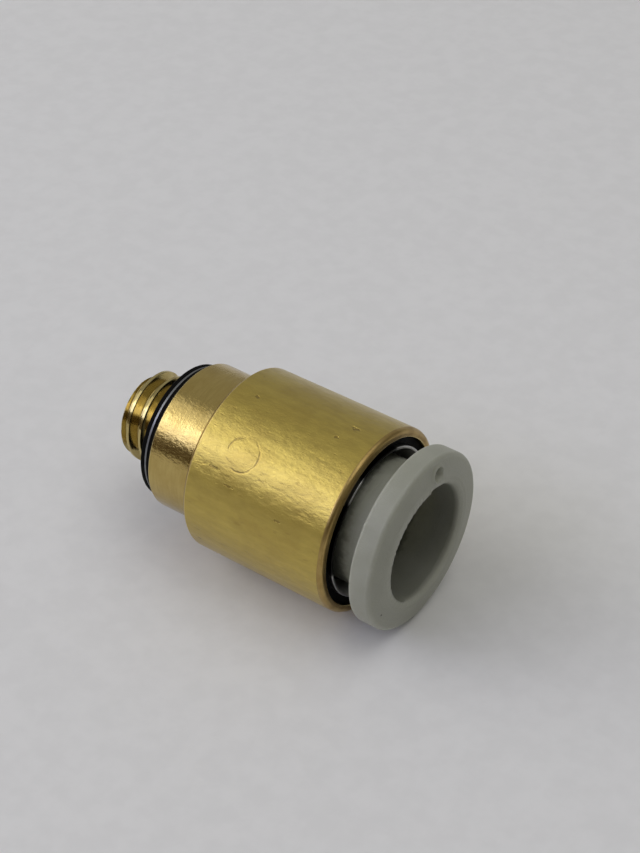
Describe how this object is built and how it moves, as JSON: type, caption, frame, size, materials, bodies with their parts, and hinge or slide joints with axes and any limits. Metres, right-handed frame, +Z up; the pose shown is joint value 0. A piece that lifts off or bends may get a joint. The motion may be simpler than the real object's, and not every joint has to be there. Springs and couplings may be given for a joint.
{
  "type": "push to connect fitting",
  "caption": "Straight push-to-connect air fitting: round brass body with a male thread and bonded gasket at one end and a grey release button round the tube port at the other.",
  "frame": {"origin": "on the axis of the fitting, in the plane of the gasket's outer face, where it meets the port that the stud screws into", "axes": "+X along the axis from the threaded stud to the tube port; +Z up as the fitting lies on its side"},
  "size_m": [0.0177, 0.01, 0.01],
  "materials": {
    "brass": "drawn and turned bare brass, satin with a fine grain",
    "black_rubber": "smooth nitrile rubber",
    "washer_steel": "plain sheet steel with a cut edge",
    "spring_steel": "stamped stainless spring steel",
    "guide_steel": "bright turned stainless steel",
    "black_plastic": "matt moulded acetal",
    "grey_plastic": "satin moulded acetal, warm light grey"
  },
  "bodies": {
    "housing": {"body": "brass", "gasket_outer_rubber": "black_rubber", "gasket_washer": "washer_steel", "gasket_inner_rubber": "black_rubber", "tube_seal": "black_rubber", "backup_washer": "washer_steel", "centring_cone": "black_plastic", "chuck_ring": "spring_steel", "guide_sleeve": "guide_steel", "guide_collar": "black_plastic"},
    "button": {"release_button": "grey_plastic"},
    "claw_01": {"claw_01": "spring_steel"},
    "claw_02": {"claw_02": "spring_steel"},
    "claw_03": {"claw_03": "spring_steel"},
    "claw_04": {"claw_04": "spring_steel"},
    "claw_05": {"claw_05": "spring_steel"},
    "claw_06": {"claw_06": "spring_steel"},
    "claw_07": {"claw_07": "spring_steel"},
    "claw_08": {"claw_08": "spring_steel"},
    "claw_09": {"claw_09": "spring_steel"},
    "claw_10": {"claw_10": "spring_steel"}
  },
  "joints": [
    {"name": "button_press", "type": "slide", "parent": "housing", "child": "button", "axis": [-1, 0, 0], "range_m": [0, 0.0011], "stiffness_N_per_m": 1500},
    {"name": "claw_01_spread", "type": "hinge", "parent": "housing", "child": "claw_01", "pos_m": [0.00955, 0, 0.00385], "axis": [0, 1, 0], "range_deg": [0, 16.1]},
    {"name": "claw_02_spread", "type": "hinge", "parent": "housing", "child": "claw_02", "pos_m": [0.00955, -0.00226, 0.00311], "axis": [0, 0.809, 0.5878], "range_deg": [0, 16.1]},
    {"name": "claw_03_spread", "type": "hinge", "parent": "housing", "child": "claw_03", "pos_m": [0.00955, -0.00366, 0.00119], "axis": [0, 0.309, 0.9511], "range_deg": [0, 16.1]},
    {"name": "claw_04_spread", "type": "hinge", "parent": "housing", "child": "claw_04", "pos_m": [0.00955, -0.00366, -0.00119], "axis": [0, -0.309, 0.9511], "range_deg": [0, 16.1]},
    {"name": "claw_05_spread", "type": "hinge", "parent": "housing", "child": "claw_05", "pos_m": [0.00955, -0.00226, -0.00311], "axis": [0, -0.809, 0.5878], "range_deg": [0, 16.1]},
    {"name": "claw_06_spread", "type": "hinge", "parent": "housing", "child": "claw_06", "pos_m": [0.00955, 0, -0.00385], "axis": [0, -1, 0], "range_deg": [0, 16.1]},
    {"name": "claw_07_spread", "type": "hinge", "parent": "housing", "child": "claw_07", "pos_m": [0.00955, 0.00226, -0.00311], "axis": [0, -0.809, -0.5878], "range_deg": [0, 16.1]},
    {"name": "claw_08_spread", "type": "hinge", "parent": "housing", "child": "claw_08", "pos_m": [0.00955, 0.00366, -0.00119], "axis": [0, -0.309, -0.9511], "range_deg": [0, 16.1]},
    {"name": "claw_09_spread", "type": "hinge", "parent": "housing", "child": "claw_09", "pos_m": [0.00955, 0.00366, 0.00119], "axis": [0, 0.309, -0.9511], "range_deg": [0, 16.1]},
    {"name": "claw_10_spread", "type": "hinge", "parent": "housing", "child": "claw_10", "pos_m": [0.00955, 0.00226, 0.00311], "axis": [0, 0.809, -0.5878], "range_deg": [0, 16.1]}
  ],
  "couplings": [
    {"joint": "claw_01_spread", "follows": "button_press", "rad_per_m": 253.87},
    {"joint": "claw_02_spread", "follows": "button_press", "rad_per_m": 253.87},
    {"joint": "claw_03_spread", "follows": "button_press", "rad_per_m": 253.87},
    {"joint": "claw_04_spread", "follows": "button_press", "rad_per_m": 253.87},
    {"joint": "claw_05_spread", "follows": "button_press", "rad_per_m": 253.87},
    {"joint": "claw_06_spread", "follows": "button_press", "rad_per_m": 253.87},
    {"joint": "claw_07_spread", "follows": "button_press", "rad_per_m": 253.87},
    {"joint": "claw_08_spread", "follows": "button_press", "rad_per_m": 253.87},
    {"joint": "claw_09_spread", "follows": "button_press", "rad_per_m": 253.87},
    {"joint": "claw_10_spread", "follows": "button_press", "rad_per_m": 253.87}
  ]
}
